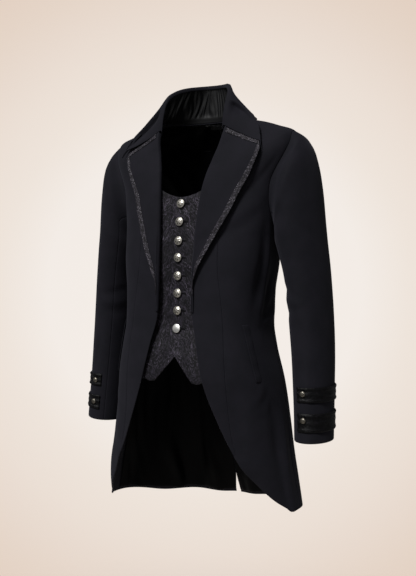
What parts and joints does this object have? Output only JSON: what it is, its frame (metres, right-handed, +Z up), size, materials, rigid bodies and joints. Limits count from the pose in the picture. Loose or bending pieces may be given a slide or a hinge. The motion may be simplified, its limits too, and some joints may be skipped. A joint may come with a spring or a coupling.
{
  "type": "redingote",
  "caption": "Hollow cutaway tailcoat with a high turned-down collar, wide trimmed lapels, strapped cuffs and an attached buttoned waistcoat front.",
  "frame": {"origin": "middle of the neck opening, at the height where the shoulder seams meet the collar, where the wearer holds the coat up", "axes": "+Z up, -Y to the coat's front, +X to the wearer's left"},
  "size_m": [0.6012, 0.3045, 0.9383],
  "materials": {
    "coat_twill": "soft black twill",
    "satin": "black satin",
    "brocade": "dark woven brocade",
    "antique_silver": "antique silver, domed",
    "label_tape": "bare woven tape"
  },
  "bodies": {
    "root": {"back_left": "coat_twill", "back_lining_left": "satin", "back_lining_right": "satin", "back_right": "coat_twill", "collar_fall": "coat_twill", "collar_stand": "satin", "cuff_button_lower_left": "antique_silver", "cuff_button_lower_right": "antique_silver", "cuff_button_upper_left": "antique_silver", "cuff_button_upper_right": "antique_silver", "cuff_strap_lower_left": "brocade", "cuff_strap_lower_right": "brocade", "cuff_strap_upper_left": "brocade", "cuff_strap_upper_right": "brocade", "front_left": "coat_twill", "front_right": "coat_twill", "hanger_loop": "satin", "lapel_left": "coat_twill", "lapel_right": "coat_twill", "lapel_trim_left": "brocade", "lapel_trim_right": "brocade", "neck_label": "label_tape", "pocket_welt_left": "coat_twill", "pocket_welt_right": "coat_twill", "side_front_left": "coat_twill", "side_front_right": "coat_twill", "sleeve_top_left": "coat_twill", "sleeve_top_right": "coat_twill", "sleeve_under_left": "coat_twill", "sleeve_under_right": "coat_twill", "waistcoat_button_1": "antique_silver", "waistcoat_button_2": "antique_silver", "waistcoat_button_3": "antique_silver", "waistcoat_button_4": "antique_silver", "waistcoat_button_5": "antique_silver", "waistcoat_button_6": "antique_silver", "waistcoat_button_7": "antique_silver", "waistcoat_button_8": "antique_silver", "waistcoat_left": "brocade", "waistcoat_right": "brocade"}
  },
  "joints": []
}
